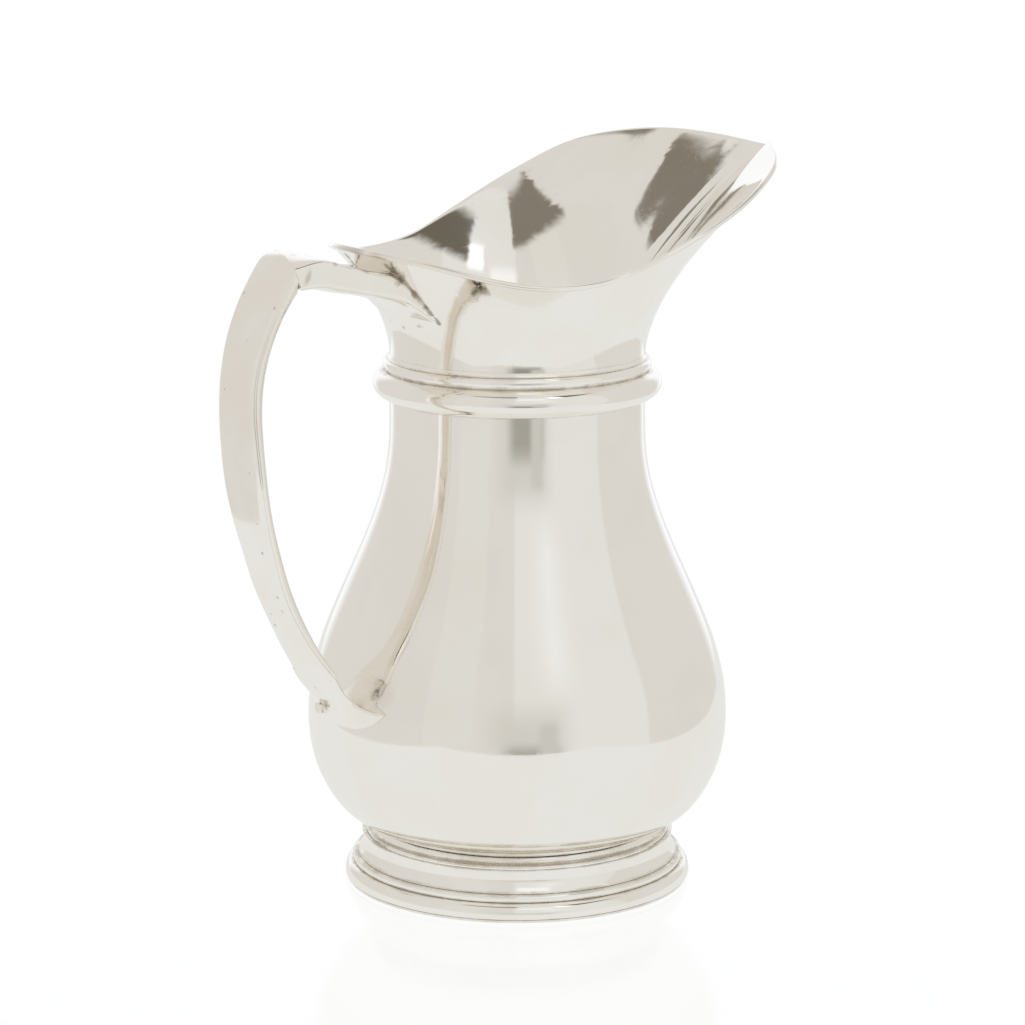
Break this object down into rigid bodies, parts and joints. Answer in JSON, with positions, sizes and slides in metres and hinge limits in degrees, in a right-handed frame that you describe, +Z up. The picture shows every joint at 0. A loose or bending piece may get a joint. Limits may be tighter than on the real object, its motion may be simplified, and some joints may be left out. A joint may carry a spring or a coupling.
{
  "type": "water pitcher",
  "caption": "Pear-shaped silver water pitcher with a flared helmet spout, ringed collar, stepped foot and a hollow strap handle.",
  "frame": {"origin": "centre of the foot, on the table", "axes": "+Z up along the vessel's axis, +X towards the spout, -X towards the handle, +Y across"},
  "size_m": [0.2139, 0.1404, 0.2445],
  "materials": {
    "vessel": "polished sheet, faint hammer waves",
    "wire": "polished",
    "mouldings": "polished, tarnish in the grooves",
    "foot_grooves": "polished, tarnished in the hollows",
    "handle": "polished, fine scratches",
    "handle_inside": "polished, slightly tarnished"
  },
  "bodies": {
    "root": {"body": "vessel", "neck": "vessel", "rim_wire": "wire", "collar_ring": "mouldings", "collar_bead": "mouldings", "foot_cove": "foot_grooves", "foot_drum": "foot_grooves", "foot_bead": "mouldings", "foot_flange": "mouldings", "foot_wire": "foot_grooves", "handle_strap": "handle", "handle_shell": "handle_inside", "handle_arm": "handle", "handle_tongue": "handle"}
  },
  "joints": []
}
